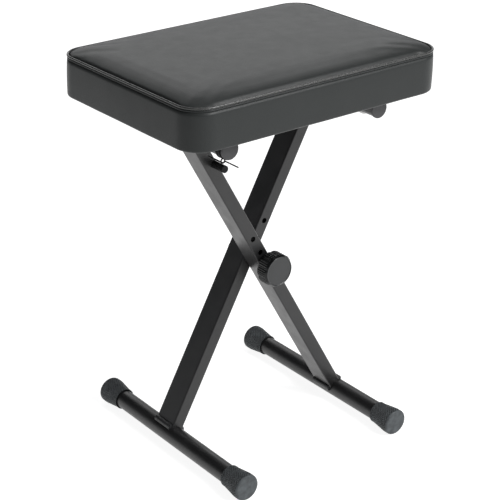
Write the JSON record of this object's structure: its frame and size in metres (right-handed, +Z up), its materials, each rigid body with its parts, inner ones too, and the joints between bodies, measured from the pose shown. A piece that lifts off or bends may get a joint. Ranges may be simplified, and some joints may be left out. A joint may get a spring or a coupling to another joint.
{
  "type": "folding piano bench",
  "caption": "Folding piano bench with crossed tube legs on a pivot bolt and knob, round foot and top tubes with end caps, and a padded vinyl seat hinged to one top tube.",
  "frame": {"origin": "on the floor, under the middle of the bench's bounding box", "axes": "+X along the seat's length and across the crossed legs, +Y from the knob side to the bolt-head side along the foot tubes, +Z up"},
  "size_m": [0.427, 0.347, 0.5893],
  "materials": {
    "plywood": "raw birch plywood",
    "foam": "open-cell upholstery foam",
    "vinyl": "charcoal leather-grain vinyl, satin",
    "vinyl_piping": "charcoal vinyl piping, satin",
    "dust_cloth": "black spun-bonded cloth",
    "zinc_steel": "zinc plated",
    "black_nylon": "moulded black nylon",
    "black_paint": "black powder coat, semi-gloss",
    "foot_rubber": "black moulded rubber, matt",
    "cap_plastic": "dark grey moulded plastic",
    "insert_brass": "machined brass",
    "knob_plastic": "black moulded plastic, fine texture",
    "spring_steel": "spring wire, oiled"
  },
  "bodies": {
    "leg_a": {"leg_a_tube": "black_paint", "foot_tube_a": "black_paint", "top_tube_a": "black_paint", "foot_caps_a": "foot_rubber", "top_caps_a": "cap_plastic", "leg_a_welds": "black_paint", "pivot_bolt": "zinc_steel", "leg_spacer": "black_nylon"},
    "leg_b": {"leg_b_tube": "black_paint", "foot_tube_b": "black_paint", "top_tube_b": "black_paint", "foot_caps_b": "foot_rubber", "top_caps_b": "cap_plastic", "leg_b_welds": "black_paint", "front_washer": "zinc_steel", "grip_stud": "zinc_steel", "grip_sleeve": "foot_rubber"},
    "seat": {"seat_board": "plywood", "foam_pad": "foam", "seat_cover": "vinyl", "edge_piping": "vinyl_piping", "dust_cover": "dust_cloth", "cover_staples": "zinc_steel", "hinge_saddles": "black_nylon", "hinge_straps": "zinc_steel", "hook_blocks": "black_nylon", "bracket_screws": "zinc_steel", "tee_nuts": "zinc_steel"},
    "knob": {"knob_grip": "knob_plastic", "knob_insert": "insert_brass"},
    "catch": {"catch_spring": "spring_steel"}
  },
  "joints": [
    {"name": "leg_fold", "type": "hinge", "parent": "leg_a", "child": "leg_b", "pos_m": [0, 0, 0.2713], "axis": [0, 1, 0], "range_deg": [0, 50]},
    {"name": "seat_fold", "type": "hinge", "parent": "leg_a", "child": "seat", "pos_m": [0.1288, 0, 0.50232], "axis": [0, 1, 0], "range_deg": [0, 115]},
    {"name": "knob_turn", "type": "hinge", "parent": "leg_b", "child": "knob", "pos_m": [0, -0.052, 0.2713], "axis": [0, 1, 0], "continuous": true},
    {"name": "catch_press", "type": "hinge", "parent": "leg_b", "child": "catch", "pos_m": [-0.1288, -0.11, 0.50232], "axis": [0, 1, 0], "range_deg": [0, 20], "stiffness_Nm_per_rad": 0.3}
  ],
  "couplings": [
    {"joint": "seat_fold", "follows": "leg_fold", "ratio": 2.3}
  ]
}
